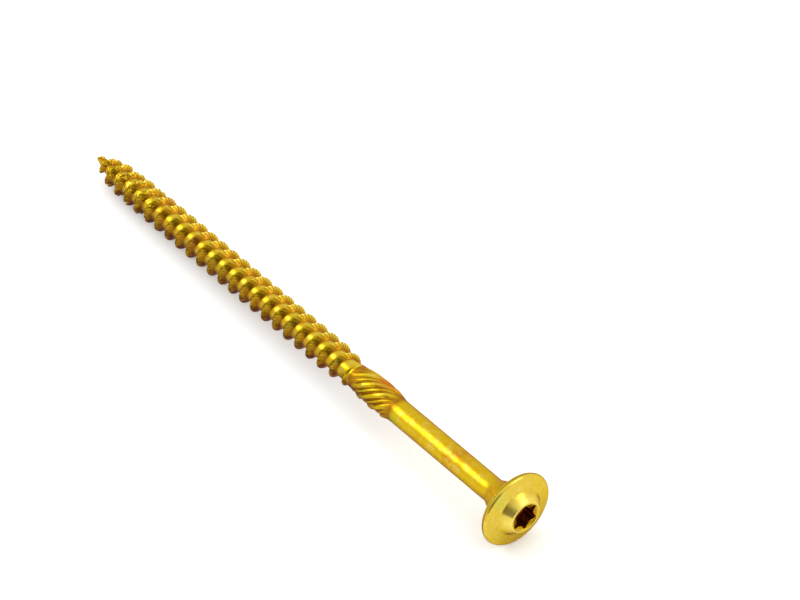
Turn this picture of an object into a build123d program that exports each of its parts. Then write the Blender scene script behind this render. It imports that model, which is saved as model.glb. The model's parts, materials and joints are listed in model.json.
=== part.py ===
from build123d import *

"""Cabinet screw, 80 mm: one piece of headed and thread-rolled wire, lying as it comes to rest.

The screw is built upright on its own axis, with the point at z = 0 and the head on top. It is then
laid along X on the head's rim and on the first full thread crest, which are the two places where
such a screw touches a table.
"""
import os
from math import asin, atan2, cos, degrees, hypot, pi, radians, sin, sqrt, tan

# Lengths along the axis, from the point to the head (mm)
screw_length = 80.0  # from the point to the flange's bearing face
point_length = 8.0  # over which the core swells from the point to its full width
thread_start = 0.8  # where the crest leaves the point
knee_height = 3.6  # where the crest's steep rise on the point eases off
full_thread_height = 8.0  # first full crest, which the screw rests on
cutter_start = 52.3
cutter_length = 7.4
neck_length = 3.2  # from the plain shank to the bearing face
collar_height = 0.4

# Widths (mm)
point_diameter = 0.12
core_diameter = 2.7
thread_diameter = 4.2
knee_diameter = 3.24
fade_diameter = 3.6
shank_diameter = 3.0
neck_middle_diameter = 4.1
neck_top_diameter = 4.7
collar_diameter = 5.2
rib_diameter = 3.7
rib_top_width = 0.5

# Rolled forms, both left-handed
pitch = 2.15
thread_left_handed = True  # False gives the commoner right-hand screw
full_turns = 18.6  # of thread at full width
fade_turns = 1.6  # over which the crest then falls off to fade_diameter
run_out_turns = 0.4  # over which it sinks back into the core
thread_flank_angle = 30.0  # of each flank, from square to the axis
rib_count = 6
rib_angle = 34.0  # of the ribs to the screw's axis
first_rib_angle = -12.0  # round the axis, where the first rib leaves the shank
rib_flank_angle = 38.0
rib_lower_ramp = 2.4  # over which a rib rises from the shank at its lower end
rib_upper_ramp = 1.7  # over which it sinks back
core_ramp = 1.2  # from the thread's core up to the shank, below the cutter

# Washer head
head_diameter = 9.3
flange_thickness = 0.9
face_slope = 11.0
hub_foot_diameter = 5.8
hub_top_diameter = 4.0
head_height = 2.25  # from the bearing face to the top of the hub

# Six-lobe recess, size T15
star_diameter = 3.35
star_waist = 2.40
lobe_radius = 0.27
recess_depth = 2.0
lead_in_width = 0.16

# How finely the forms are divided
point_heights = (0.0, 0.8, 3.6, point_length)  # of the rings between the point's bands
thread_spans = 5  # the full thread's flanks are each made of so many faces
rim_chords = 5  # round the flange's edge, in place of a true arc
sink = 0.1  # how far the root of a rolled form is set into the metal under it


def spin(lead_turns, left_handed):
    """Turn about the axis in degrees, for a number of turns of the form's own hand."""
    return -360 * lead_turns if left_handed else 360 * lead_turns


def helix_between(start, end, left_handed):
    """Helix from one (radius, height, turn) to another, on the cylinder or cone that holds both."""
    (start_r, start_z, start_turn), (end_r, end_z, end_turn) = start, end
    rise = end_z - start_z
    taper = atan2(end_r - start_r, rise)
    slant_pitch = rise / (end_turn - start_turn) / cos(taper)
    edge = Edge.make_helix(
        slant_pitch, rise, start_r, center=(0, 0, start_z), angle=degrees(taper), lefthand=left_handed
    )
    return edge.rotate(Axis.Z, spin(start_turn, left_handed))


def end_cap(section, left_handed):
    """Flat or nearly flat end of a rolled form, as a face through its corners."""
    corners = [
        Vector(r, 0, z).rotate(Axis.Z, spin(turn, left_handed)) for r, z, turn in section
    ]
    sides = [Edge.make_line(a, b) for a, b in zip(corners, corners[1:] + corners[:1])]
    return Face(Wire(sides))


def rolled_form(sections, left_handed=False):
    """Solid ridge that winds through like sections, each a list of (radius, height, turn) corners."""
    faces = [end_cap(sections[0], left_handed), end_cap(sections[-1], left_handed)]
    for low, high in zip(sections, sections[1:]):
        edges = [helix_between(a, b, left_handed) for a, b in zip(low, high)]
        for edge, next_edge in zip(edges, edges[1:] + edges[:1]):
            faces.append(Face.make_surface_from_curves(edge, next_edge))
    return Solid(Shell(faces))


def core_radius_at(z):
    """Radius of the thread's core: an arc on the point, then a plain cylinder."""
    if z >= point_length:
        return core_diameter / 2
    half_width = (core_diameter - point_diameter) / 2
    arc_radius = (half_width**2 + point_length**2) / (2 * half_width)
    return core_diameter / 2 - arc_radius + sqrt(arc_radius**2 - (point_length - z) ** 2)


def thread_section(z, crest_radius):
    """Fin of the thread at height z: a sharp crest, two straight flanks and a root inside the core."""
    root_radius = max(core_radius_at(z) - sink, point_diameter / 2)
    half_root = (crest_radius - root_radius) * tan(radians(thread_flank_angle))
    turn = (z - full_thread_height) / pitch
    return [
        (root_radius, z - half_root, turn),
        (crest_radius, z, turn),
        (root_radius, z + half_root, turn),
    ]


def make_thread():
    """Single-start thread, from the point to where it sinks into the core."""
    full_radius = thread_diameter / 2
    full_length = full_turns * pitch
    full_heights = [
        full_thread_height + full_length * span / thread_spans for span in range(thread_spans + 1)
    ]
    fade_end = full_heights[-1] + fade_turns * pitch
    run_out_end = fade_end + run_out_turns * pitch
    sunk_radius = core_diameter / 2 - sink / 2
    return rolled_form(
        [
            thread_section(thread_start, core_radius_at(thread_start) + sink),
            thread_section(knee_height, knee_diameter / 2),
            *[thread_section(z, full_radius) for z in full_heights],
            thread_section(fade_end, fade_diameter / 2),
            thread_section(run_out_end, sunk_radius),
        ],
        thread_left_handed,
    )


def rib_section(z, top_radius):
    """One rib of the cutter at height z, square to the axis: a flat top and two sloping flanks."""
    root_radius = shank_diameter / 2 - sink
    lead = pi * shank_diameter / tan(radians(rib_angle))
    turn = (z - cutter_start) / lead
    across = 1 / cos(radians(rib_angle))
    half_top = rib_top_width / 2 * across
    half_root = half_top + (top_radius - root_radius) * tan(radians(rib_flank_angle)) * across
    top_turn = half_top / (2 * pi * top_radius)
    root_turn = half_root / (2 * pi * root_radius)
    return [
        (root_radius, z, turn - root_turn),
        (top_radius, z, turn - top_turn),
        (top_radius, z, turn + top_turn),
        (root_radius, z, turn + root_turn),
    ]


def make_rib():
    """One steep rib, rising out of the shank and sinking back into it."""
    cutter_end = cutter_start + cutter_length
    sunk_radius = shank_diameter / 2 - sink / 2
    return rolled_form(
        [
            rib_section(cutter_start, sunk_radius),
            rib_section(cutter_start + rib_lower_ramp, rib_diameter / 2),
            rib_section(cutter_end - rib_upper_ramp, rib_diameter / 2),
            rib_section(cutter_end, sunk_radius),
        ],
        left_handed=True,
    )


def make_blank():
    """The turned form under the rolled ones: point, core, shank, neck, collar and washer head."""
    core_radius = core_diameter / 2
    shank_radius, collar_radius = shank_diameter / 2, collar_diameter / 2
    neck_start = screw_length - neck_length
    collar_start = screw_length - collar_height
    neck_middle = (neck_start + collar_start) / 2

    edge_radius = flange_thickness / 2
    edge_centre = (head_diameter / 2 - edge_radius, screw_length + edge_radius)
    slope = radians(face_slope)
    edge_turn = pi - slope  # from the bearing face, round the edge, to the sloping face
    rim = [
        (
            edge_centre[0] + edge_radius * sin(edge_turn * step / rim_chords),
            edge_centre[1] - edge_radius * cos(edge_turn * step / rim_chords),
        )
        for step in range(rim_chords + 1)
    ]
    face_start = rim[-1]
    foot_radius = hub_foot_diameter / 2
    hub_foot = (foot_radius, face_start[1] + (face_start[0] - foot_radius) * tan(slope))
    hub_top = (hub_top_diameter / 2, screw_length + head_height)

    with BuildSketch(Plane.XZ) as half:
        with BuildLine():
            Polyline(
                (0, point_length),
                (core_radius, point_length),
                (core_radius, cutter_start - core_ramp),
                (shank_radius, cutter_start),
                (shank_radius, neck_start),
                (neck_middle_diameter / 2, neck_middle),
                (neck_top_diameter / 2, collar_start),
                (collar_radius, collar_start),
                (collar_radius, screw_length),
                *rim,
                hub_foot,
                hub_top,
                (0, hub_top[1]),
                close=True,
            )
        make_face()
    return revolve(half.sketch, Axis.Z)


def make_point():
    """The core's point, as plain bands between rings that stand on its arc."""
    rings = [Edge.make_circle(core_radius_at(z), Plane((0, 0, z))) for z in point_heights]
    bands = [Face.make_surface_from_curves(low, high) for low, high in zip(rings, rings[1:])]
    return Solid(Shell([Face(Wire(rings[0])), *bands, Face(Wire(rings[-1]))]))


def star_outline():
    """Six round lobes joined by six arcs that bulge inwards, each tangent to its neighbours."""
    lobe_distance = star_diameter / 2 - lobe_radius
    waist = star_waist / 2
    between = cos(pi / 6)
    valley_radius = (lobe_radius**2 - waist**2 - lobe_distance**2 + 2 * waist * lobe_distance * between) / (
        2 * (waist - lobe_distance * between - lobe_radius)
    )
    with BuildSketch() as star:
        with BuildLine():
            for step in range(6):
                lobe = radians(60 * step)
                valley = lobe + pi / 6
                touch = star_touch(lobe_distance, waist + valley_radius)
                ThreePointArc(
                    polar(touch[0], lobe - touch[1]),
                    polar(star_diameter / 2, lobe),
                    polar(touch[0], lobe + touch[1]),
                )
                ThreePointArc(
                    polar(touch[0], lobe + touch[1]),
                    polar(waist, valley),
                    polar(touch[0], lobe + pi / 3 - touch[1]),
                )
        make_face()
    return star.sketch


def star_touch(lobe_distance, valley_distance):
    """Distance and angle, from a lobe's middle, of the point where its arc meets the next one."""
    valley_x = valley_distance * cos(pi / 6)
    valley_y = valley_distance * sin(pi / 6)
    reach = hypot(valley_x - lobe_distance, valley_y)
    x = lobe_distance + (valley_x - lobe_distance) * lobe_radius / reach
    y = valley_y * lobe_radius / reach
    return hypot(x, y), atan2(y, x)


def polar(distance, angle):
    return (distance * cos(angle), distance * sin(angle))


def make_recess():
    """The driver's hole: a short conical lead-in over six straight lobes and a flat floor."""
    top = screw_length + head_height
    mouth_radius = star_diameter / 2 + lead_in_width / 2
    throat_radius = star_diameter / 2 - lead_in_width / 2
    lobes = Pos(0, 0, top - recess_depth) * extrude(star_outline(), recess_depth + lead_in_width)
    lead_in = Pos(0, 0, top) * Cone(
        throat_radius, mouth_radius, lead_in_width, align=(Align.CENTER, Align.CENTER, Align.MAX)
    )
    return lobes + lead_in


def lie_down(screw):
    """Lay the upright screw along X, on the head's rim and the first full crest, with z = 0 under it."""
    edge_radius = flange_thickness / 2
    along = screw_length + edge_radius - full_thread_height
    across = head_diameter / 2 - edge_radius - thread_diameter / 2
    tilt = degrees(atan2(across, along) + asin(edge_radius / hypot(along, across)))
    lying = Rot(0, 90 - tilt, 0) * screw
    box = lying.bounding_box()
    return Pos(-box.center().X, -box.center().Y, -box.min.Z) * lying


blank = make_blank() - make_recess()
rib = make_rib()
ribs = [rib.rotate(Axis.Z, first_rib_angle + 360 / rib_count * step) for step in range(rib_count)]
screw = lie_down(blank + [make_point(), make_thread(), *ribs])

os.makedirs("parts", exist_ok=True)
export_step(screw, "parts/screw.step")
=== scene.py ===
"""Cabinet screw: one piece of cold-headed, thread-rolled and yellow zinc plated wire, on a plain stage."""

import json
from math import atan2, ceil, cos, floor, pi, radians, sin, tan

import bmesh
import bpy
from mathutils import Matrix, Vector


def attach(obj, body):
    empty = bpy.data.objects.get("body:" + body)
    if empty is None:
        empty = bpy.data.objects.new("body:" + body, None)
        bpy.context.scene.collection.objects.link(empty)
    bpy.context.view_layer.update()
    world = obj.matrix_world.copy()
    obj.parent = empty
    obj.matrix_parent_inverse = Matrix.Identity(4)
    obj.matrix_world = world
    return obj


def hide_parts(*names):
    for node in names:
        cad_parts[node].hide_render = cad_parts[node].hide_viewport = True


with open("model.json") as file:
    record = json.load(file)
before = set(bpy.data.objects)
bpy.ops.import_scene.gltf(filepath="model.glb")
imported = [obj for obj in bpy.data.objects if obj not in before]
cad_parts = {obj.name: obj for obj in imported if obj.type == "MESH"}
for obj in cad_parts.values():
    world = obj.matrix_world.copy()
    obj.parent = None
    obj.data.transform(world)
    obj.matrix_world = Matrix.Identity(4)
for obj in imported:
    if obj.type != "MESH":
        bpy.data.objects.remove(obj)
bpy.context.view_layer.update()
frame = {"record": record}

bl_info = {
    "name": "Cabinet Screw",
    "version": (1, 0, 0),
    "blender": (4, 5, 0),
    "location": "3D Viewport > Sidebar > Cabinet Screw",
    "description": "Builds a yellow zinc plated cabinet screw with a washer head, and a plain stage for it",
    "category": "Add Mesh",
}

mm = 0.001
JOIN = 0.001 * mm  # vertices nearer than this become one

# Rise of the rolled crest on the point
START_STEP = 0.5 * mm  # from the blunt point's radius out to the crest where it starts
KNEE_STEP = 0.22 * mm  # by which the crest stands out further at the knee
KNEE_BLEND = 0.3 * mm  # over which the two stages of the rise merge

# Length over which the thread's core widens to the shank, below the cutter
CORE_RAMP = 1.2 * mm

# Notches in the crest of the first turns
NOTCHES_PER_TURN = 5.45
NOTCH_SHARE = 0.6  # of the crest's height, gone at a notch's middle
NOTCH_FLOOR = 0.02  # half-width of a notch's floor, as a share of the way to the next notch
NOTCH_EDGE = 0.16  # and of its mouth
NOTCHED_TURNS = 3.5  # above the first full crest, over which the notches die out

# Fine leaning lines on the thread's flanks
LINES_PER_TURN = 30.0
LINE_HEIGHT = 0.05 * mm  # twice their depth, since their wave runs from 0 to a half
FULL_FIN = 0.5 * mm  # height of crest at which the lines and the painted shade and highlight are full

# The painted shade and highlight value runs from 1 for the darkest painted shade, deep in a groove, past 0 on
# open metal, to -1 for the brightest painted highlight
LINE_SHADE = 1.7  # what the fine lines add, for each unit of their wave
ROOT_FALL = 1.5  # what it loses across the core, from the flank's foot to the middle of the groove

# Section across the cutter, as shares of the way from a rib's middle to the middle of the groove
RIB_FOOT = 0.64  # where the rib's flank ends and the ridge begins
RIDGE_TOP = 0.86  # where the small ridge between two ribs reaches its height

# Rows of the turned body
CUTTER_ROWS = 44
SHANK_ROWS = 14
NECK_ROWS = 11
GUARD = 0.06 * mm  # at most, from a rounding to the row that keeps its neighbour flat
GUARD_SHARE = 0.3  # the same as a share of the rounding's radius


def linear(code):
    """Linear colour of an sRGB hex value."""
    parts = [int(code[start : start + 2], 16) / 255 for start in (0, 2, 4)]
    return [p / 12.92 if p <= 0.04045 else ((p + 0.055) / 1.055) ** 2.4 for p in parts]


def length(name, size, description):
    """Property for a size given in millimetres."""
    return bpy.props.FloatProperty(
        name=name, description=description, default=size * mm, min=0, precision=5, unit="LENGTH"
    )


def turning(name, degrees, description):
    """Property for an angle given in degrees."""
    return bpy.props.FloatProperty(
        name=name, description=description, default=radians(degrees), subtype="ANGLE"
    )


def turns(name, count, description):
    """Property for a number of turns of the thread."""
    return bpy.props.FloatProperty(name=name, description=description, default=count, min=0)


def shade(name, code, description):
    """Property for a colour given as an sRGB hex value."""
    return bpy.props.FloatVectorProperty(
        name=name, description=description, default=linear(code), min=0, max=1, subtype="COLOR"
    )


class ScrewSizes(bpy.types.PropertyGroup):
    """Sizes of the screw, along its axis from the point and across it."""

    screw_length: length("Length", 80, "From the point to the flange's bearing face")
    point_length: length("Point length", 8, "Over which the core swells to its full width")
    point_diameter: length("Point diameter", 0.12, "Of the blunt end of the point")
    thread_start: length("Thread start", 0.35, "Where the crest leaves the point")
    knee_height: length("Knee height", 3.6, "Where the crest's steep rise on the point eases off")
    knee_diameter: length("Knee diameter", 3.24, "Over a sharp crest there; the rolled one is fuller")
    full_thread_height: length("First full crest", 8.0, "Height of the first crest of full width")
    full_turns: turns("Full turns", 18.6, "Of thread above that crest")
    fade_turns: turns("Fade turns", 1.6, "Over which the crest then falls off")
    run_out_turns: turns("Run-out turns", 0.4, "Over which it sinks back into the core")
    fade_diameter: length("Fade diameter", 3.6, "Over the crest where it has fallen off")
    pitch: length("Pitch", 2.15, "From crest to crest")
    thread_diameter: length("Thread diameter", 4.2, "Over the crests")
    core_diameter: length("Core diameter", 2.7, "Between the crests")
    flank_angle: turning("Flank angle", 38, "Of each side of the crest, from square to the axis")
    cutter_start: length("Cutter start", 52.3, "Lower end of the ribbed cutter")
    cutter_length: length("Cutter length", 7.4, "Of the ribbed cutter")
    rib_count: bpy.props.IntProperty(name="Ribs", description="Left-hand ribs of the cutter", default=6)
    rib_diameter: length("Rib diameter", 3.7, "Over the ribs")
    rib_top_width: length("Rib top", 0.35, "Width of a rib's top")
    rib_lower_ramp: length("Lower rib ramp", 2.4, "Over which a rib rises from the shank")
    rib_upper_ramp: length("Upper rib ramp", 1.7, "Over which a rib sinks back")
    ridge_height: length("Ridge height", 0.2, "Of the small ridge in the groove between two ribs")
    first_rib: turning("First rib", -12, "Round the axis, where the first rib leaves the shank")
    rib_angle: turning("Rib angle", 34, "Of the ribs to the axis")
    shank_diameter: length("Shank diameter", 3.0, "Of the plain wire")
    neck_length: length("Neck length", 3.2, "From the plain shank to the bearing face")
    neck_middle_diameter: length("Neck middle", 4.1, "Half-way up the neck")
    neck_top_diameter: length("Neck top", 4.7, "Under the collar")
    collar_diameter: length("Collar diameter", 5.2, "Of the step under the flange")
    collar_height: length("Collar height", 0.4, "Of the step under the flange")
    head_diameter: length("Head diameter", 9.3, "Over the flange")
    flange_thickness: length("Flange thickness", 0.9, "At the round rim")
    face_slope: turning("Face slope", 11, "Of the flange's face")
    hub_foot_diameter: length("Hub foot", 5.8, "Of the hub, where it meets the face")
    hub_top_diameter: length("Hub top", 4.0, "Of the hub's flat top")
    head_height: length("Head height", 2.25, "From the bearing face to the hub's top")
    star_diameter: length("Star diameter", 3.35, "Over the recess's lobes")
    star_waist: length("Star waist", 2.40, "Between the recess's lobes")
    lobe_radius: length("Lobe radius", 0.27, "Of each lobe's end")
    recess_depth: length("Recess depth", 2.0, "From the hub's top to the recess's floor")
    lead_in: length("Lead-in", 0.16, "Width and depth of the cone at the recess's mouth")
    columns: bpy.props.IntProperty(
        name="Columns", description="Mesh columns round the screw; a multiple of 30", default=150
    )


class ScrewColours(bpy.types.PropertyGroup):
    """Colours of the yellow passivated zinc plate, and of the painted shade and highlights laid over it."""

    gold: shade("Gold", "C4A208", "Main colour of the plate")
    amber: shade("Amber", "BA8606", "Where the film is thicker")
    olive: shade("Olive", "ABA41E", "Greenish sheen of the film")
    rose: shade("Rose", "C98E50", "Pinkish sheen of the film")
    # Painted shade, laid into the thread's grooves, the cutter, the neck and the recess
    groove: shade("Groove", "8A4A00", "Film that has gathered in grooves")
    worn: shade("Worn", "DCCB80", "Rubbed crests and rims")
    # Painted highlight on the head and mid-core, and painted light on the thread's upper side
    pale: shade("Pale", "F2E070", "Thin film, on the head's face and the thread's upper side")
    # Painted highlight on the hub's top
    bare: shade("Bare", "F8E678", "Thinnest film, on the top of the hub")
    # Painted shade along the thread's low side
    low_side_shade: shade("Stain", "5A3600", "Thickest film, along the side where the bath ran off the thread")
    blush: shade("Blush", "B85A08", "Reddish film, in one place on the rib cutter")
    edge: shade("Edge", "B08C10", "Tint of the gloss at a grazing angle")


class StageColours(bpy.types.PropertyGroup):
    """Colours of the stage."""

    floor: shade("Floor", "F6F6F6", "Plain pale floor")


def add(tree, kind, inputs=None, **settings):
    """Add one node with its settings, and feed its inputs from nodes, sockets or plain values."""
    node = tree.nodes.new(kind)
    for name, value in settings.items():
        setattr(node, name, value)
    for name, source in (inputs or {}).items():
        if isinstance(source, bpy.types.Node):
            source = source.outputs[0]
        if isinstance(source, bpy.types.NodeSocket):
            tree.links.new(source, node.inputs[name])
        else:
            node.inputs[name].default_value = source
    return node


def new_tree(name, inputs):
    """Geometry Nodes tree with an outline, the named inputs and a material; returns it and its input node."""
    tree = bpy.data.node_groups.new(name, "GeometryNodeTree")
    tree.interface.new_socket("Outline", in_out="INPUT", socket_type="NodeSocketGeometry")
    for label, value in inputs.items():
        kind = "NodeSocketInt" if isinstance(value, int) else "NodeSocketFloat"
        tree.interface.new_socket(label, in_out="INPUT", socket_type=kind)
    tree.interface.new_socket("Material", in_out="INPUT", socket_type="NodeSocketMaterial")
    tree.interface.new_socket("Mesh", in_out="OUTPUT", socket_type="NodeSocketGeometry")
    return tree, add(tree, "NodeGroupInput")


def grid_of(tree, given, columns):
    """Grid with a row for each outline point; returns it, and each vertex's column and row."""
    size = add(tree, "GeometryNodeAttributeDomainSize", {0: given.outputs["Outline"]}, component="MESH")
    rows = size.outputs["Point Count"]
    across = add(tree, "ShaderNodeMath", {0: columns, 1: 1.0}, operation="ADD")
    up = add(tree, "ShaderNodeMath", {0: rows, 1: 1.0}, operation="SUBTRACT")
    sizes = {"Size X": columns, "Size Y": up, "Vertices X": across, "Vertices Y": rows}
    grid = add(tree, "GeometryNodeMeshGrid", sizes)
    place = add(tree, "ShaderNodeSeparateXYZ", {0: add(tree, "GeometryNodeInputPosition")})
    column = add(tree, "ShaderNodeMath", {0: columns, 1: 0.5, 2: place.outputs[0]}, operation="MULTIPLY_ADD")
    row = add(tree, "ShaderNodeMath", {0: up, 1: 0.5, 2: place.outputs[1]}, operation="MULTIPLY_ADD")
    nearest = add(tree, "ShaderNodeMath", {0: row}, operation="ROUND")
    return grid, column, nearest


def wind(tree, grid, radius, height, angle, painted_shade_and_highlight, material):
    """Put each vertex at its radius, height and angle, and end the tree."""
    flat = add(tree, "ShaderNodeCombineXYZ", {"X": radius, "Z": height})
    turned = add(tree, "ShaderNodeVectorRotate", {"Vector": flat, "Angle": angle}, rotation_type="Z_AXIS")
    kept = {"Geometry": grid, "Name": "painted_shade_and_highlight", "Value": painted_shade_and_highlight}
    named = add(tree, "GeometryNodeStoreNamedAttribute", kept, data_type="FLOAT", domain="POINT")
    placed = add(tree, "GeometryNodeSetPosition", {"Geometry": named, "Position": turned})
    merged = add(tree, "GeometryNodeMergeByDistance", {"Geometry": placed, "Distance": JOIN})
    smooth = add(tree, "GeometryNodeSetShadeSmooth", {"Geometry": merged})
    real = add(tree, "GeometryNodeRealizeInstances", {"Geometry": smooth})
    painted = add(tree, "GeometryNodeSetMaterial", {"Geometry": real, "Material": material})
    add(tree, "NodeGroupOutput", {0: painted})


def core_radius(tree, given, height):
    """Radius of the thread's core: an arc on the point, a cylinder, and a cone up to the shank."""
    inputs = given.outputs
    half = add(tree, "ShaderNodeMath", {0: inputs["Core diameter"], 1: 0.5}, operation="MULTIPLY")
    below = add(tree, "ShaderNodeMath", {0: inputs["Point length"], 1: height}, operation="SUBTRACT")
    below = add(tree, "ShaderNodeMath", {0: below, 1: 0.0}, operation="MAXIMUM")
    arc = inputs["Point arc radius"]
    arc_square = add(tree, "ShaderNodeMath", {0: arc, 1: arc}, operation="MULTIPLY")
    below_square = add(tree, "ShaderNodeMath", {0: below, 1: below}, operation="MULTIPLY")
    rest = add(tree, "ShaderNodeMath", {0: arc_square, 1: below_square}, operation="SUBTRACT")
    rest = add(tree, "ShaderNodeMath", {0: rest}, operation="SQRT")
    sunk = add(tree, "ShaderNodeMath", {0: rest, 1: arc}, operation="SUBTRACT")
    radius = add(tree, "ShaderNodeMath", {0: half, 1: sunk}, operation="ADD")
    shank = add(tree, "ShaderNodeMath", {0: inputs["Shank diameter"], 1: 0.5}, operation="MULTIPLY")
    step = add(tree, "ShaderNodeMath", {0: shank, 1: half}, operation="SUBTRACT")
    ends = {"Value": height, "From Min": inputs["Ramp start"], "From Max": inputs["Zone end"], "To Max": step}
    ramp = add(tree, "ShaderNodeMapRange", ends, interpolation_type="SMOOTHSTEP")
    return add(tree, "ShaderNodeMath", {0: radius, 1: ramp}, operation="ADD")


def thread_tree(inputs):
    """One strip, a pitch wide, wound from the point to the cutter so that its two edges meet."""
    tree, given = new_tree("Rolled thread", inputs)
    named = given.outputs
    columns = add(tree, "ShaderNodeMath", {0: named["Columns"], 1: named["Turns"]}, operation="MULTIPLY")
    grid, column, row = grid_of(tree, given, columns)
    turn = add(tree, "ShaderNodeMath", {0: column, 1: named["Columns"]}, operation="DIVIDE")
    turn = add(tree, "ShaderNodeMath", {0: turn, 1: named["First turn"]}, operation="ADD")
    crest_height = {0: turn, 1: named["Pitch"], 2: named["First full crest"]}
    crest_height = add(tree, "ShaderNodeMath", crest_height, operation="MULTIPLY_ADD")

    # How high the crest stands above the core, which follows the taper of the point and the run-out
    steep = {"From Min": named["Thread start"], "From Max": named["Knee height"]}
    steep |= {"Value": crest_height, "To Min": named["Start radius"], "To Max": named["Knee radius"]}
    steep = add(tree, "ShaderNodeMapRange", steep, clamp=False)
    easy = {"From Min": named["Knee height"], "From Max": named["First full crest"]}
    easy |= {"Value": crest_height, "To Min": named["Knee radius"], "To Max": named["Crest radius"]}
    easy = add(tree, "ShaderNodeMapRange", easy)
    crest = add(tree, "ShaderNodeMath", {0: steep, 1: easy, 2: KNEE_BLEND}, operation="SMOOTH_MIN")
    fall = {"From Min": named["Fade start"], "From Max": named["Run-out start"]}
    fall |= {"Value": crest_height, "To Max": named["Fade depth"]}
    fall = add(tree, "ShaderNodeMapRange", fall)
    crest = add(tree, "ShaderNodeMath", {0: crest, 1: fall}, operation="SUBTRACT")
    fin = {0: crest, 1: core_radius(tree, given, crest_height)}
    fin = add(tree, "ShaderNodeMath", fin, operation="SUBTRACT")
    fin = add(tree, "ShaderNodeMath", {0: fin, 1: 0.0}, operation="MAXIMUM")
    fade = {"From Min": named["Run-out start"], "From Max": named["Run-out end"]}
    fade |= {"Value": crest_height, "To Min": 1.0, "To Max": 0.0}
    fade = add(tree, "ShaderNodeMapRange", fade, interpolation_type="SMOOTHSTEP")
    fin = add(tree, "ShaderNodeMath", {0: fin, 1: fade}, operation="MULTIPLY")
    started = {0: crest_height, 1: named["Thread start"]}
    started = add(tree, "ShaderNodeMath", started, operation="GREATER_THAN")
    fin = add(tree, "ShaderNodeMath", {0: fin, 1: started}, operation="MULTIPLY")

    # Notches that make the first turns bite
    beat = add(tree, "ShaderNodeMath", {0: turn, 1: named["Notches a turn"]}, operation="MULTIPLY")
    beat = add(tree, "ShaderNodeMath", {0: beat, 1: 0.5}, operation="PINGPONG")
    cut = {"Value": beat, "From Min": NOTCH_FLOOR, "From Max": NOTCH_EDGE}
    cut |= {"To Min": named["Notch share"], "To Max": 0.0}
    cut = add(tree, "ShaderNodeMapRange", cut)
    near = {"Value": crest_height, "From Min": named["Notch end"], "From Max": named["First full crest"]}
    near = add(tree, "ShaderNodeMapRange", near)
    cut = add(tree, "ShaderNodeMath", {0: cut, 1: near}, operation="MULTIPLY")

    # Where the section's point lies, from the fin's half-width and what is left of half a pitch
    where = add(tree, "GeometryNodeInputPosition")
    sample = {"Geometry": named["Outline"], "Value": where, "Index": row}
    share = add(tree, "GeometryNodeSampleIndex", sample, data_type="FLOAT_VECTOR", domain="POINT")
    share = add(tree, "ShaderNodeSeparateXYZ", {0: share})
    slope = add(tree, "ShaderNodeMath", {0: named["Flank angle"]}, operation="TANGENT")
    half = add(tree, "ShaderNodeMath", {0: fin, 1: slope}, operation="MULTIPLY")
    room = add(tree, "ShaderNodeMath", {0: named["Pitch"], 1: 0.5}, operation="MULTIPLY")
    room = add(tree, "ShaderNodeMath", {0: room, 1: half}, operation="SUBTRACT")
    height = {0: share.outputs[0], 1: half, 2: crest_height}
    height = add(tree, "ShaderNodeMath", height, operation="MULTIPLY_ADD")
    height = add(tree, "ShaderNodeMath", {0: share.outputs[1], 1: room, 2: height}, operation="MULTIPLY_ADD")
    past_tip = add(tree, "ShaderNodeMath", {0: height, 1: -JOIN}, operation="GREATER_THAN")
    height = {"Value": height, "Min": 0.0, "Max": named["Zone end"]}
    height = add(tree, "ShaderNodeClamp", height)

    uncut = add(tree, "ShaderNodeMath", {0: 1.0, 1: cut}, operation="SUBTRACT")
    level = add(tree, "ShaderNodeMath", {0: share.outputs[2], 1: uncut}, operation="MINIMUM")
    core = core_radius(tree, given, height)
    radius = add(tree, "ShaderNodeMath", {0: level, 1: fin, 2: core}, operation="MULTIPLY_ADD")

    # Fine lines across the flanks, which lean like the cutter's ribs
    tall = add(tree, "ShaderNodeMapRange", {"Value": fin, "From Max": FULL_FIN, "To Max": 1.0})
    lean = add(tree, "ShaderNodeMath", {0: height, 1: named["Rib lead"]}, operation="DIVIDE")
    lean = add(tree, "ShaderNodeMath", {0: lean, 1: turn}, operation="SUBTRACT")
    line = add(tree, "ShaderNodeMath", {0: lean, 1: named["Lines a turn"]}, operation="MULTIPLY")
    line = add(tree, "ShaderNodeMath", {0: line, 1: 0.5}, operation="PINGPONG")
    line = add(tree, "ShaderNodeMath", {0: line, 1: uncut}, operation="MULTIPLY")
    line = add(tree, "ShaderNodeMath", {0: line, 1: level}, operation="MULTIPLY")
    line = add(tree, "ShaderNodeMath", {0: line, 1: tall}, operation="MULTIPLY")
    dent = add(tree, "ShaderNodeMath", {0: line, 1: named["Line height"]}, operation="MULTIPLY")
    radius = add(tree, "ShaderNodeMath", {0: radius, 1: dent}, operation="SUBTRACT")
    radius = add(tree, "ShaderNodeMath", {0: radius, 1: past_tip}, operation="MULTIPLY")
    angle = add(tree, "ShaderNodeMath", {0: turn, 1: -2 * pi}, operation="MULTIPLY")

    # Painted shade at the flank's foot and in the fine lines, and painted highlight at the middle of the core
    middle = add(tree, "ShaderNodeMath", {0: share.outputs[1]}, operation="ABSOLUTE")
    root = add(tree, "ShaderNodeMath", {0: middle, 1: -ROOT_FALL, 2: 1.0}, operation="MULTIPLY_ADD")
    root = add(tree, "ShaderNodeMath", {0: root, 1: share.outputs[2]}, operation="SUBTRACT")
    painted_shade_and_highlight = add(tree, "ShaderNodeMath", {0: root, 1: tall}, operation="MULTIPLY")
    painted_shade_and_highlight = add(tree, "ShaderNodeMath", {0: line, 1: LINE_SHADE, 2: painted_shade_and_highlight}, operation="MULTIPLY_ADD")
    wind(tree, grid, radius, height, angle, painted_shade_and_highlight, named["Material"])
    return tree


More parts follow.
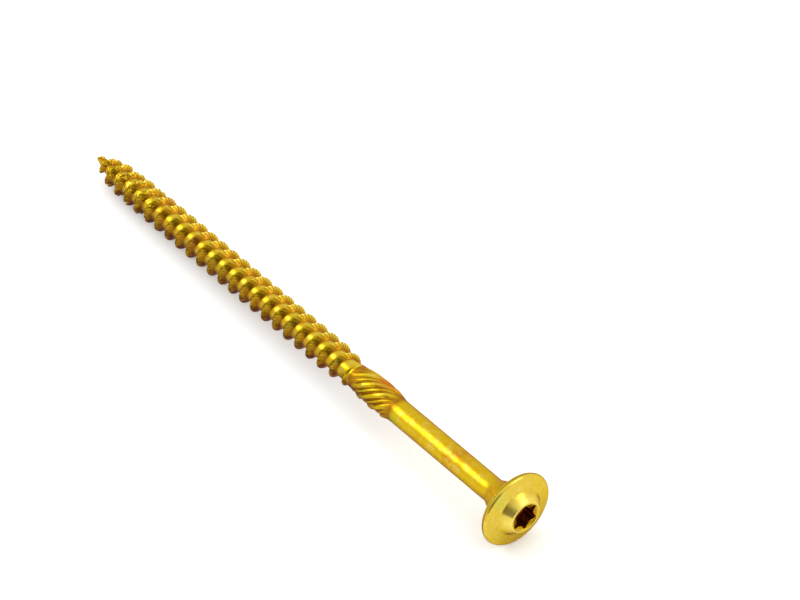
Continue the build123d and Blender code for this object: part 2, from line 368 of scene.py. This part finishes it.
def star_radius(tree, given, angle):
    """Distance from the axis to the star's edge: round lobes joined by arcs that bulge inwards."""
    named = given.outputs
    turned = add(tree, "ShaderNodeMath", {0: angle, 1: pi / 6}, operation="PINGPONG")
    away = add(tree, "ShaderNodeMath", {0: pi / 6, 1: turned}, operation="SUBTRACT")
    arms = []
    for bend, distance, radius, sign in (
        (turned, named["Lobe distance"], named["Lobe radius"], 1.0),
        (away, named["Valley distance"], named["Valley radius"], -1.0),
    ):
        side = add(tree, "ShaderNodeMath", {0: bend}, operation="SINE")
        side = add(tree, "ShaderNodeMath", {0: side, 1: distance}, operation="MULTIPLY")
        ahead = add(tree, "ShaderNodeMath", {0: bend}, operation="COSINE")
        ahead = add(tree, "ShaderNodeMath", {0: ahead, 1: distance}, operation="MULTIPLY")
        square = add(tree, "ShaderNodeMath", {0: radius, 1: radius}, operation="MULTIPLY")
        side = add(tree, "ShaderNodeMath", {0: side, 1: side}, operation="MULTIPLY")
        rest = add(tree, "ShaderNodeMath", {0: square, 1: side}, operation="SUBTRACT")
        rest = add(tree, "ShaderNodeMath", {0: rest, 1: 0.0}, operation="MAXIMUM")
        rest = add(tree, "ShaderNodeMath", {0: rest}, operation="SQRT")
        arms.append(add(tree, "ShaderNodeMath", {0: rest, 1: sign, 2: ahead}, operation="MULTIPLY_ADD"))
    on_lobe = add(tree, "ShaderNodeMath", {0: turned, 1: named["Touch angle"]}, operation="LESS_THAN")
    return add(tree, "ShaderNodeMix", {0: on_lobe, 2: arms[1], 3: arms[0]}, data_type="FLOAT")


def body_tree(inputs):
    """The outline's rows turned about the axis, with the ribs raised and the recess drawn into a star."""
    tree, given = new_tree("Turned body", inputs)
    named = given.outputs
    grid, column, row = grid_of(tree, given, named["Columns"])
    sampled = []
    for value, kind in (
        (add(tree, "GeometryNodeInputPosition"), "FLOAT_VECTOR"),
        (add(tree, "GeometryNodeInputNamedAttribute", {"Name": "painted_shade_and_highlight"}, data_type="FLOAT"), "FLOAT"),
        (add(tree, "GeometryNodeInputNamedAttribute", {"Name": "star"}, data_type="FLOAT"), "FLOAT"),
    ):
        sample = {"Geometry": named["Outline"], "Value": value, "Index": row}
        sampled.append(add(tree, "GeometryNodeSampleIndex", sample, data_type=kind, domain="POINT"))
    place, row_shade_and_highlight, row_star = sampled
    place = add(tree, "ShaderNodeSeparateXYZ", {0: place})
    height = place.outputs[2]

    # The columns lean with the ribs, then come back to a whole column over the shank
    lean = {"Value": height, "From Min": named["Cutter start"], "From Max": named["Cutter end"]}
    lean = add(tree, "ShaderNodeMapRange", lean | {"To Max": named["Rib turn"]})
    back = {"Value": height, "From Min": named["Cutter end"], "From Max": named["Neck start"]}
    back = add(tree, "ShaderNodeMapRange", back | {"To Max": named["Turn back"]})
    step = add(tree, "ShaderNodeMath", {0: 2 * pi, 1: named["Columns"]}, operation="DIVIDE")
    angle = add(tree, "ShaderNodeMath", {0: column, 1: step, 2: lean}, operation="MULTIPLY_ADD")
    angle = add(tree, "ShaderNodeMath", {0: angle, 1: back}, operation="ADD")

    # Ribs, with a small ridge between each two, and a ramp at each end
    reach = add(tree, "ShaderNodeMath", {0: named["Columns"], 1: named["Ribs"]}, operation="DIVIDE")
    reach = add(tree, "ShaderNodeMath", {0: reach, 1: 0.5}, operation="MULTIPLY")
    side = add(tree, "ShaderNodeMath", {0: column, 1: named["Rib shift"]}, operation="ADD")
    side = add(tree, "ShaderNodeMath", {0: side, 1: reach}, operation="PINGPONG")
    side = add(tree, "ShaderNodeMath", {0: side, 1: reach}, operation="DIVIDE")
    across = {"Value": side, "From Min": named["Rib top share"], "From Max": RIB_FOOT}
    across |= {"To Min": 1.0, "To Max": 0.0}
    across = add(tree, "ShaderNodeMapRange", across)
    ridge = {"Value": side, "From Min": RIB_FOOT, "From Max": RIDGE_TOP, "To Max": 1.0}
    ridge = add(tree, "ShaderNodeMapRange", ridge)
    across = {0: ridge, 1: named["Ridge share"], 2: across}
    across = add(tree, "ShaderNodeMath", across, operation="MULTIPLY_ADD")
    low = add(tree, "ShaderNodeMath", {0: height, 1: named["Cutter start"]}, operation="SUBTRACT")
    low = add(tree, "ShaderNodeMath", {0: low, 1: named["Lower rib ramp"]}, operation="DIVIDE")
    high = add(tree, "ShaderNodeMath", {0: named["Cutter end"], 1: height}, operation="SUBTRACT")
    high = add(tree, "ShaderNodeMath", {0: high, 1: named["Upper rib ramp"]}, operation="DIVIDE")
    rise = add(tree, "ShaderNodeMath", {0: low, 1: high}, operation="MINIMUM")
    rise = add(tree, "ShaderNodeMath", {0: rise, 1: 1.0}, operation="MINIMUM")
    rise = add(tree, "ShaderNodeMath", {0: rise, 1: 0.0}, operation="MAXIMUM")
    rib = add(tree, "ShaderNodeMath", {0: across, 1: rise}, operation="MULTIPLY")

    star = star_radius(tree, given, angle)
    star = add(tree, "ShaderNodeMath", {0: star, 1: row_star}, operation="MULTIPLY")
    radius = add(tree, "ShaderNodeMath", {0: place.outputs[0], 1: star}, operation="MAXIMUM")
    radius = {0: rib, 1: named["Rib height"], 2: radius}
    radius = add(tree, "ShaderNodeMath", radius, operation="MULTIPLY_ADD")
    # The row's painted shade, and its painted highlight on the head, taken off where a rib rises
    bare = add(tree, "ShaderNodeMath", {0: 1.0, 1: rib}, operation="SUBTRACT")
    painted_shade_and_highlight = add(tree, "ShaderNodeMath", {0: bare, 1: row_shade_and_highlight}, operation="MULTIPLY")
    wind(tree, grid, radius, height, angle, painted_shade_and_highlight, named["Material"])
    return tree


def rounded(corners, steps=5):
    """Outline through (radius, height, rounding, shade) corners, with an arc at each; shade is painted shade
    where positive and painted highlight where negative.

    A row just beside each arc keeps the flat part next to it flat.
    """
    rows = [(*corners[0][:2], corners[0][3])]
    for before, corner, after in zip(corners, corners[1:], corners[2:]):
        here = Vector(corner[:2])
        back, on = Vector(before[:2]) - here, Vector(after[:2]) - here
        half = back.angle(on) / 2
        rounding = corner[2]
        reach = rounding / tan(half)
        middle = here + (back.normalized() + on.normalized()).normalized() * rounding / sin(half)
        start, end = here + back.normalized() * reach, here + on.normalized() * reach
        turn = Vector(start - middle).angle_signed(Vector(end - middle))
        guard = min(GUARD, GUARD_SHARE * rounding)
        rows.append((*(start + back.normalized() * guard), corner[3]))
        for step in range(steps + 1):
            spoke = Vector(start - middle)
            spoke.rotate(Matrix.Rotation(-turn * step / steps, 2))
            rows.append((*(middle + spoke), corner[3]))
        rows.append((*(end + on.normalized() * guard), corner[3]))
    rows.append((*corners[-1][:2], corners[-1][3]))
    return rows


def body_rows(sizes):
    """Rows of the turned body, from the thread's end to the recess's floor.

    Each is (radius, height, shade, star): shade is painted shade where positive and painted highlight where
    negative, and star is 1 where the row follows the recess's star.
    """
    shank, cutter_end = sizes.shank_diameter / 2, sizes.cutter_start + sizes.cutter_length
    neck_start = sizes.screw_length - sizes.neck_length
    collar_start = sizes.screw_length - sizes.collar_height
    plain = neck_start - cutter_end
    rows = []
    # The cutter's rows get painted shade, which the body tree takes off the ribs
    for step in range(CUTTER_ROWS + 1):
        rows.append((shank, sizes.cutter_start + sizes.cutter_length * step / CUTTER_ROWS, 0.9, 0.0))
    for step in range(1, SHANK_ROWS):
        rows.append((shank, cutter_end + plain * step / SHANK_ROWS, 0.0, 0.0))

    # The neck's rows get painted shade, deepening up towards the flange
    middle = sizes.neck_middle_diameter / 2 - (shank + sizes.neck_top_diameter / 2) / 2
    for step in range(NECK_ROWS):
        along = step / NECK_ROWS
        bulge = 4 * middle * along * (1 - along)
        radius = shank + (sizes.neck_top_diameter / 2 - shank) * along + bulge
        rows.append((radius, neck_start + (collar_start - neck_start) * along, 0.3 + 0.6 * along, 0.0))

    slope, edge = sizes.face_slope, sizes.flange_thickness / 2
    rim, foot = sizes.head_diameter / 2, sizes.hub_foot_diameter / 2
    top = sizes.screw_length + sizes.head_height
    face_start = (rim - edge + edge * sin(slope), sizes.screw_length + edge + edge * cos(slope))
    corner_height = face_start[1] - (rim - face_start[0]) * tan(slope)
    foot_height = face_start[1] + (face_start[0] - foot) * tan(slope)
    mouth = sizes.star_diameter / 2 + sizes.lead_in / 2
    throat = sizes.star_diameter / 2 - sizes.lead_in / 2
    almost = 0.995  # keeps the two rows where the rim's arcs meet apart
    # Each corner's last value is painted shade where positive, at the collar and in the recess, and painted
    # highlight where negative, over the rim, the face, the hub and the recess's mouth
    corners = [
        (sizes.neck_top_diameter / 2 - 0.08 * mm, collar_start - 0.1 * mm, 0, 0.5),
        (sizes.neck_top_diameter / 2, collar_start, 0.05 * mm, 0.7),
        (sizes.collar_diameter / 2, collar_start, 0.08 * mm, 0.3),
        (sizes.collar_diameter / 2, sizes.screw_length, 0.05 * mm, 0.7),
        (rim, sizes.screw_length, edge * almost, -0.3),
        (rim, corner_height, edge * almost, -0.6),
        (foot, foot_height, 0.22 * mm, -0.7),
        (sizes.hub_top_diameter / 2, top, 0.14 * mm, -1.0),
        (mouth, top, 0.03 * mm, -0.6),
        (throat, top - sizes.lead_in, 0, 0.6),
    ]
    head = rounded(corners)
    rows += [(*row, 0.0) for row in head[1:-1]]

    # The star narrows a little towards its floor, which dips to the middle; its walls get painted shade,
    # darkest at the floor
    ledge, floor_height = top - sizes.lead_in, top - sizes.recess_depth
    floor_dip = 0.06 * mm
    rows.append((throat, ledge, 0.6, 1.0))
    for depth, share in ((0.0, 1.0), (0.02, 1.0), (0.3, 1.0), (0.6, 0.997), (0.97, 0.985), (1.0, 0.93)):
        rows.append((0.0, ledge - depth * (ledge - floor_height), 0.8 + 0.2 * depth, share))
    rows.append((0.0, floor_height - floor_dip, 1.0, 0.0))
    return rows


def zone_end(sizes):
    """Height at which the wound strip ends and the turned rows begin."""
    return sizes.cutter_start


def section_rows():
    """One pitch of thread as shares of the flank's width, the groove's floor and the crest's height."""
    half = [(1.0, 1.0, 0.0), (1.0, 0.5, 0.0), (1.0, 0.13, 0.015), (0.97, 0.0, 0.07)]
    half += [(0.8, 0.0, 0.215), (0.45, 0.0, 0.56), (0.15, 0.0, 0.87), (0.07, 0.0, 0.965)]
    return [(-a, -b, c) for a, b, c in half] + [(0.0, 0.0, 1.0)] + list(reversed(half))


def star_sizes(sizes):
    """Where the star's lobes and the arcs between them are centred, and the angle at which they touch."""
    lobe_distance, waist = sizes.star_diameter / 2 - sizes.lobe_radius, sizes.star_waist / 2
    between = cos(pi / 6)
    over = sizes.lobe_radius**2 - waist**2 - lobe_distance**2 + 2 * waist * lobe_distance * between
    valley_radius = over / (2 * (waist - lobe_distance * between - sizes.lobe_radius))
    valley = Vector((cos(pi / 6), sin(pi / 6))) * (waist + valley_radius)
    lobe = Vector((lobe_distance, 0))
    touch = lobe + (valley - lobe).normalized() * sizes.lobe_radius
    return {
        "Lobe distance": lobe_distance,
        "Lobe radius": sizes.lobe_radius,
        "Valley distance": waist + valley_radius,
        "Valley radius": valley_radius,
        "Touch angle": atan2(touch.y, touch.x),
    }


def outline_object(name, points, attributes):
    """Object whose mesh is only the outline's points, with a value of each attribute at each point."""
    mesh = bpy.data.meshes.new(name)
    mesh.from_pydata(points, [], [])
    for label, values in attributes.items():
        mesh.attributes.new(label, "FLOAT", "POINT").data.foreach_set("value", values)
    made = bpy.data.objects.new(name, mesh)
    bpy.context.scene.collection.objects.link(made)
    return made


def grown(outline, tree, inputs, material):
    """Plain mesh that the tree makes from the outline; the outline's object is deleted."""
    modifier = outline.modifiers.new(tree.name, "NODES")
    modifier.node_group = tree
    for item in tree.interface.items_tree:
        if item.in_out == "INPUT" and item.name in inputs:
            modifier[item.identifier] = inputs[item.name]
        elif item.name == "Material":
            modifier[item.identifier] = material
    evaluated = outline.evaluated_get(bpy.context.evaluated_depsgraph_get())
    mesh = bpy.data.meshes.new_from_object(evaluated)
    bpy.data.objects.remove(outline)
    return mesh


def thread_mesh(sizes, material):
    """The point, the thread and its core, up to the cutter."""
    first = floor(-(sizes.full_thread_height + sizes.pitch / 2) / sizes.pitch)
    last = ceil((zone_end(sizes) - sizes.full_thread_height) / sizes.pitch + 0.5)
    half_width = (sizes.core_diameter - sizes.point_diameter) / 2
    fade_start = sizes.full_thread_height + sizes.full_turns * sizes.pitch
    run_out_start = fade_start + sizes.fade_turns * sizes.pitch
    inputs = {
        "Columns": sizes.columns,
        "Turns": last - first,
        "First turn": first,
        "Pitch": sizes.pitch,
        "First full crest": sizes.full_thread_height,
        "Thread start": sizes.thread_start,
        "Start radius": sizes.point_diameter / 2 + START_STEP,
        "Knee height": sizes.knee_height,
        "Knee radius": sizes.knee_diameter / 2 + KNEE_STEP,
        "Crest radius": sizes.thread_diameter / 2,
        "Core diameter": sizes.core_diameter,
        "Shank diameter": sizes.shank_diameter,
        "Point length": sizes.point_length,
        "Point arc radius": (half_width**2 + sizes.point_length**2) / (2 * half_width),
        "Flank angle": sizes.flank_angle,
        "Fade start": fade_start,
        "Fade depth": (sizes.thread_diameter - sizes.fade_diameter) / 2,
        "Run-out start": run_out_start,
        "Run-out end": run_out_start + sizes.run_out_turns * sizes.pitch,
        "Ramp start": sizes.cutter_start - CORE_RAMP,
        "Zone end": zone_end(sizes),
        "Rib lead": pi * sizes.shank_diameter / tan(sizes.rib_angle),
        "Lines a turn": LINES_PER_TURN,
        "Line height": LINE_HEIGHT,
        "Notches a turn": NOTCHES_PER_TURN,
        "Notch share": NOTCH_SHARE,
        "Notch end": sizes.full_thread_height + NOTCHED_TURNS * sizes.pitch,
    }
    outline = outline_object("thread_section", section_rows(), {})
    return grown(outline, thread_tree(inputs), inputs, material)


def body_mesh(sizes, material):
    """Cutter, shank, neck, washer head and recess."""
    lead = pi * sizes.shank_diameter / tan(sizes.rib_angle)
    rib_turn = -2 * pi * sizes.cutter_length / lead
    step = 2 * pi / sizes.columns
    spacing = 2 * pi / sizes.rib_count
    top_angle = sizes.rib_top_width / cos(sizes.rib_angle) / sizes.rib_diameter
    inputs = {
        "Columns": sizes.columns,
        "Cutter start": sizes.cutter_start,
        "Cutter end": sizes.cutter_start + sizes.cutter_length,
        "Neck start": sizes.screw_length - sizes.neck_length,
        "Rib turn": rib_turn,
        "Turn back": round(rib_turn / step) * step - rib_turn,
        "Ribs": sizes.rib_count,
        "Rib shift": -sizes.first_rib / step,
        "Rib height": (sizes.rib_diameter - sizes.shank_diameter) / 2,
        "Lower rib ramp": sizes.rib_lower_ramp,
        "Upper rib ramp": sizes.rib_upper_ramp,
        "Ridge share": 2 * sizes.ridge_height / (sizes.rib_diameter - sizes.shank_diameter),
        "Rib top share": top_angle / (spacing / 2),
    }
    inputs |= star_sizes(sizes)
    rows = body_rows(sizes)
    points = [(radius, 0, height) for radius, height, painted_shade_and_highlight, star in rows]
    attributes = {"painted_shade_and_highlight": [row[2] for row in rows], "star": [row[3] for row in rows]}
    outline = outline_object("half_section", points, attributes)
    return grown(outline, body_tree(inputs), inputs, material)


def lying_place(sizes):
    """Matrix from the upright screw to where the record's recess mount says that it lies."""
    recess = next(m for m in frame["record"]["mounts"] if m["name"] == "drive_recess")
    axis = Vector(recess["axis"]).normalized()
    tip = Vector(recess["pos_m"]) - axis * (sizes.screw_length + sizes.head_height)
    side = Vector((0, 1, 0))
    place = Matrix((side.cross(axis), side, axis)).transposed().to_4x4()
    place.translation = tip
    return place


def plate_material(colours):
    """Yellow chromated zinc plate on cold-rolled steel, under a thin clear lacquer.

    To the eye it is gold, with a slow play of olive, amber and rose. Painted shade turns it brown at the foot
    of the thread, in the fine lines, in the cutter's grooves, in the neck, in the recess and along the
    thread's low side. Painted highlight makes it pale on the thread's upper side, on the head and at the
    middle of the thread's core, palest on the hub's top. It is rubbed here and there on open metal. The
    bright zinc beneath gives a sharp but slightly wavy gloss, which glints on the first turns.
    """
    material = bpy.data.materials.new("yellow_zinc_plate")
    material.use_nodes = True
    tree = material.node_tree
    tree.nodes.clear()
    place = add(tree, "ShaderNodeTexCoord").outputs["Object"]
    in_mm = add(tree, "ShaderNodeMapping", {"Vector": place, "Scale": (1 / mm, 1 / mm, 1 / mm)})
    drawn = add(tree, "ShaderNodeMapping", {"Vector": place, "Scale": (0.12 / mm, 5 / mm, 5 / mm)})

    # Film thickness drifts over 3 to 6 mm, with a finer drift of about 1 mm on top
    drift = {"Vector": in_mm, "Scale": 0.28, "Detail": 4.0, "Roughness": 0.6}
    drift = add(tree, "ShaderNodeTexNoise", drift)
    ramp = add(tree, "ShaderNodeValToRGB", {0: drift})
    stops = (
        (0.28, colours.olive),
        (0.42, colours.gold),
        (0.56, colours.gold),
        (0.68, colours.amber),
        (0.8, colours.rose),
    )
    for stop in stops[1:-1]:
        ramp.color_ramp.elements.new(stop[0])
    for element, (position, colour) in zip(ramp.color_ramp.elements, stops):
        element.position = position
        element.color = (*colour, 1)

    # Painted shade where the shade value is high: the thread's roots and fine lines, the cutter's grooves,
    # the neck and the recess
    painted_shade_and_highlight = add(tree, "ShaderNodeAttribute", attribute_name="painted_shade_and_highlight").outputs["Fac"]
    groove_shade = {"Value": painted_shade_and_highlight, "From Min": 0.4, "From Max": 0.95, "To Max": 0.85}
    groove_shade = add(tree, "ShaderNodeMapRange", groove_shade)

    # Along the screw: 1 on the thread, fading over the cutter; and 1 on the first turns, fading over the next
    along = add(tree, "ShaderNodeSeparateXYZ", {0: in_mm})
    on_thread = {"Value": along, "From Min": 10.0, "From Max": 20.0, "To Min": 1.0, "To Max": 0.0}
    on_thread = add(tree, "ShaderNodeMapRange", on_thread)
    first_turns = {"Value": along, "From Min": -31.0, "From Max": -24.0, "To Min": 1.0, "To Max": 0.0}
    first_turns = add(tree, "ShaderNodeMapRange", first_turns)

    # Painted shade on the thread's low side, broken into patches of about 0.6 mm; across is in mm, and the
    # screw's axis is at -2.15
    across = {0: in_mm, 1: (0.0232, -0.75, -0.66)}
    across = add(tree, "ShaderNodeVectorMath", across, operation="DOT_PRODUCT").outputs["Value"]
    low_side_shade_share = {"Value": across, "From Min": -2.3, "From Max": -0.9, "To Max": 0.66}
    low_side_shade_share = add(tree, "ShaderNodeMapRange", low_side_shade_share)
    low_side_shade_share = add(tree, "ShaderNodeMath", {0: low_side_shade_share, 1: on_thread}, operation="MULTIPLY")
    patches = add(tree, "ShaderNodeTexNoise", {"Vector": in_mm, "Scale": 1.7, "Detail": 3.0})
    streaks = {"Value": patches, "From Min": 0.4, "From Max": 0.6, "To Min": 0.6, "To Max": 1.4}
    streaks = add(tree, "ShaderNodeMapRange", streaks)
    low_side_shade_share = add(tree, "ShaderNodeMath", {0: low_side_shade_share, 1: streaks}, operation="MULTIPLY")

    # Rubbed patches on open metal
    rubbed = {"Value": patches, "From Min": 0.5, "From Max": 0.75, "To Max": 0.35}
    rubbed = add(tree, "ShaderNodeMapRange", rubbed)
    open_share = {"Value": painted_shade_and_highlight, "From Max": 0.2, "To Min": 1.0, "To Max": 0.0}
    open_share = add(tree, "ShaderNodeMapRange", open_share)
    rubbed = add(tree, "ShaderNodeMath", {0: rubbed, 1: open_share}, operation="MULTIPLY")

    # Painted highlight: pale on the head and at the middle of the thread's core, palest on the hub's top; and
    # painted light outside the grooves on the thread's upper side
    thin = {"Value": painted_shade_and_highlight, "From Min": -0.2, "From Max": -0.6, "To Max": 0.22}
    thin = add(tree, "ShaderNodeMapRange", thin)
    upper = {"Value": across, "From Min": -2.9, "From Max": -4.0, "To Max": 0.75}
    upper = add(tree, "ShaderNodeMapRange", upper)
    upper = add(tree, "ShaderNodeMath", {0: upper, 1: on_thread}, operation="MULTIPLY")
    unshaded = {"Value": painted_shade_and_highlight, "From Min": 0.1, "From Max": 0.7, "To Min": 1.0, "To Max": 0.0}
    unshaded = add(tree, "ShaderNodeMapRange", unshaded)
    upper = add(tree, "ShaderNodeMath", {0: upper, 1: unshaded}, operation="MULTIPLY")
    thin = add(tree, "ShaderNodeMath", {0: thin, 1: upper}, operation="MAXIMUM")
    bare = {"Value": painted_shade_and_highlight, "From Min": -0.7, "From Max": -1.0, "To Max": 0.4}
    bare = add(tree, "ShaderNodeMapRange", bare)

    # Reddish film within 2.2 mm of one place on the cutter
    blush = {0: in_mm, 1: (15.4, 1.5, 5.3)}
    blush = add(tree, "ShaderNodeVectorMath", blush, operation="DISTANCE").outputs["Value"]
    blush = {"Value": blush, "From Min": 0.9, "From Max": 2.2, "To Min": 0.8, "To Max": 0.0}
    blush = add(tree, "ShaderNodeMapRange", blush)

    # Each layer's colour is laid over those before it, by its share
    tone = ramp.outputs["Color"]
    for share, colour in (
        (groove_shade, colours.groove),
        (low_side_shade_share, colours.low_side_shade),
        (rubbed, colours.worn),
        (thin, colours.pale),
        (bare, colours.bare),
        (blush, colours.blush),
    ):
        layer = {0: share, 6: tone, 7: (*colour, 1)}
        tone = add(tree, "ShaderNodeMix", layer, data_type="RGBA").outputs[2]

    # Wavy plating over 1 mm, lines drawn along the wire about 0.2 mm apart, a satin grain of 0.1 mm, and
    # chatter marks of 0.4 mm on the first turns; the lines and the grain are coarser than real ones, to show
    wave = add(tree, "ShaderNodeTexNoise", {"Vector": in_mm, "Scale": 0.9, "Detail": 3.0, "Roughness": 0.55})
    lines = add(tree, "ShaderNodeTexNoise", {"Vector": drawn, "Scale": 1.0, "Detail": 3.0})
    grain = add(tree, "ShaderNodeTexNoise", {"Vector": in_mm, "Scale": 9.0, "Detail": 2.0})
    chatter = add(tree, "ShaderNodeTexNoise", {"Vector": in_mm, "Scale": 2.6, "Detail": 1.0})
    bump = add(tree, "ShaderNodeBump", {"Height": wave, "Strength": 1.0, "Distance": 0.05 * mm})
    for relief, strength, depth in (
        (lines, 1.0, 0.008 * mm),
        (grain, 1.0, 0.003 * mm),
        (chatter, first_turns, 0.14 * mm),
    ):
        relief = {"Height": relief, "Normal": bump, "Strength": strength, "Distance": depth}
        bump = add(tree, "ShaderNodeBump", relief)

    rough = add(tree, "ShaderNodeMapRange", {"Value": grain, "To Min": 0.2, "To Max": 0.36})
    lacquer = {"Value": painted_shade_and_highlight, "From Min": -1.0, "From Max": 0.0, "To Min": 0.25, "To Max": 0.15}
    lacquer = add(tree, "ShaderNodeMapRange", lacquer)
    shader = {"Base Color": tone, "Metallic": 1.0, "Roughness": rough, "Normal": bump}
    shader |= {"Specular Tint": (*colours.edge, 1), "Coat Weight": lacquer}
    shader |= {"Coat Roughness": 0.07, "Coat Normal": bump}
    shader = add(tree, "ShaderNodeBsdfPrincipled", shader)
    add(tree, "ShaderNodeOutputMaterial", {0: shader})
    return material


def floor_material(colours):
    """Matt white painted board: plain, pale and without gloss.

    A slight glow stands for the light that a white room throws back onto it.
    """
    material = bpy.data.materials.new("white_painted_board")
    material.use_nodes = True
    tree = material.node_tree
    tree.nodes.clear()
    shader = {"Base Color": (*colours.floor, 1), "Roughness": 0.9, "Specular IOR Level": 0.1}
    shader |= {"Emission Color": (1, 1, 1, 1), "Emission Strength": 0.1}
    add(tree, "ShaderNodeOutputMaterial", {0: add(tree, "ShaderNodeBsdfPrincipled", shader)})
    return material


def pale_room():
    """White room that is dim on the side that the viewer and the screw's head share."""
    world = bpy.data.worlds.new("pale_room")
    world.use_nodes = True
    tree = world.node_tree
    tree.nodes.clear()
    toward = add(tree, "ShaderNodeTexCoord").outputs["Generated"]
    dim_side = {0: toward, 1: (0.71, -0.7, -0.05)}
    facing = add(tree, "ShaderNodeVectorMath", dim_side, operation="DOT_PRODUCT").outputs["Value"]
    strength = {"Value": facing, "From Min": 0.5, "From Max": 0.95, "To Min": 1.2, "To Max": 0.16}
    strength = add(tree, "ShaderNodeMapRange", strength, interpolation_type="SMOOTHSTEP")
    air = add(tree, "ShaderNodeBackground", {"Color": (1, 1, 1, 1), "Strength": strength})
    add(tree, "ShaderNodeOutputWorld", {0: air})
    return world


class AddCabinetScrew(bpy.types.Operator):
    """Build the screw and lay it where the frame has it"""

    bl_idname = "mesh.add_cabinet_screw"
    bl_label = "Add Cabinet Screw"

    def execute(self, context):
        sizes = context.scene.screw_sizes
        material = plate_material(context.scene.screw_colours)
        joined = bmesh.new()
        for part in (thread_mesh(sizes, material), body_mesh(sizes, material)):
            joined.from_mesh(part)
            bpy.data.meshes.remove(part)
        bmesh.ops.remove_doubles(joined, verts=joined.verts, dist=JOIN)
        bmesh.ops.recalc_face_normals(joined, faces=joined.faces)
        open_edges = [edge for edge in joined.edges if not edge.is_manifold]
        if open_edges:
            raise RuntimeError(f"the screw's mesh isn't closed: {len(open_edges)} open edges")
        mesh = bpy.data.meshes.new("cabinet_screw")
        joined.to_mesh(mesh)
        joined.free()
        mesh.transform(lying_place(sizes))
        mesh.materials.clear()
        mesh.materials.append(material)
        screw = bpy.data.objects.new("cabinet_screw", mesh)
        context.scene.collection.objects.link(screw)
        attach(screw, "root")
        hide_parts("screw")
        return {"FINISHED"}


def soft_light(name, direction, distance, size, strength):
    """Soft box in that direction from the origin, facing it.

    Its power is its strength times pi and its area.
    """
    light = bpy.data.lights.new(name, "AREA")
    light.shape = "RECTANGLE"
    light.size, light.size_y = size
    light.energy = strength * pi * size[0] * size[1]
    box = bpy.data.objects.new(name, light)
    toward = Vector(direction).normalized()
    box.location = toward * distance
    box.rotation_euler = toward.to_track_quat("Z", "Y").to_euler()
    bpy.context.scene.collection.objects.link(box)


class AddPlainStage(bpy.types.Operator):
    """Build the pale floor, the soft lights and the camera"""

    bl_idname = "scene.add_plain_stage"
    bl_label = "Add Plain Stage"

    def execute(self, context):
        scene = context.scene
        mesh = bpy.data.meshes.new("floor")
        half = 1.5  # half the board's side, in metres
        corners = [(-half, -half, 0), (half, -half, 0), (half, half, 0), (-half, half, 0)]
        mesh.from_pydata(corners, [], [(0, 1, 2, 3)])
        mesh.materials.append(floor_material(scene.stage_colours))
        ground = bpy.data.objects.new("floor", mesh)
        scene.collection.objects.link(ground)

        scene.world = pale_room()
        key_side = (-0.62, -0.46, 0.63)
        soft_light("key", key_side, distance=0.6, size=(0.36, 0.36), strength=1.7)
        soft_light("key_lamp", key_side, distance=0.58, size=(0.12, 0.12), strength=5.2)
        soft_light("fill", (0.56, 0.42, 0.71), distance=0.6, size=(0.26, 0.26), strength=2.5)

        camera = bpy.data.cameras.new("camera")
        camera.lens, camera.sensor_width = 161.9, 36
        camera.clip_start, camera.clip_end = 0.01, 10
        eye = bpy.data.objects.new("camera", camera)
        eye.location = (0.2479, -0.1815, 0.2878)
        forward = Vector((-0.5789, 0.4588, -0.6741))
        eye.rotation_euler = forward.to_track_quat("-Z", "Y").to_euler()
        scene.collection.objects.link(eye)
        scene.camera = eye
        scene.view_settings.view_transform = "Standard"
        return {"FINISHED"}


class CabinetScrewPanel(bpy.types.Panel):
    """Sidebar panel with the screw's sizes, its colours and the two operators"""

    bl_idname = "VIEW3D_PT_cabinet_screw"
    bl_label = "Cabinet Screw"
    bl_space_type = "VIEW_3D"
    bl_region_type = "UI"
    bl_category = "Cabinet Screw"

    def draw(self, context):
        for group in (context.scene.screw_sizes, context.scene.screw_colours, context.scene.stage_colours):
            for name in group.__annotations__:
                self.layout.prop(group, name)
        self.layout.operator(AddCabinetScrew.bl_idname)
        self.layout.operator(AddPlainStage.bl_idname)


CLASSES = (ScrewSizes, ScrewColours, StageColours, AddCabinetScrew, AddPlainStage, CabinetScrewPanel)


def register():
    for cls in CLASSES:
        bpy.utils.register_class(cls)
    bpy.types.Scene.screw_sizes = bpy.props.PointerProperty(type=ScrewSizes)
    bpy.types.Scene.screw_colours = bpy.props.PointerProperty(type=ScrewColours)
    bpy.types.Scene.stage_colours = bpy.props.PointerProperty(type=StageColours)


def unregister():
    del bpy.types.Scene.stage_colours
    del bpy.types.Scene.screw_colours
    del bpy.types.Scene.screw_sizes
    for cls in reversed(CLASSES):
        bpy.utils.unregister_class(cls)


def main():
    register()
    bpy.ops.mesh.add_cabinet_screw()
    bpy.ops.scene.add_plain_stage()


if __name__ == "__main__":
    main()
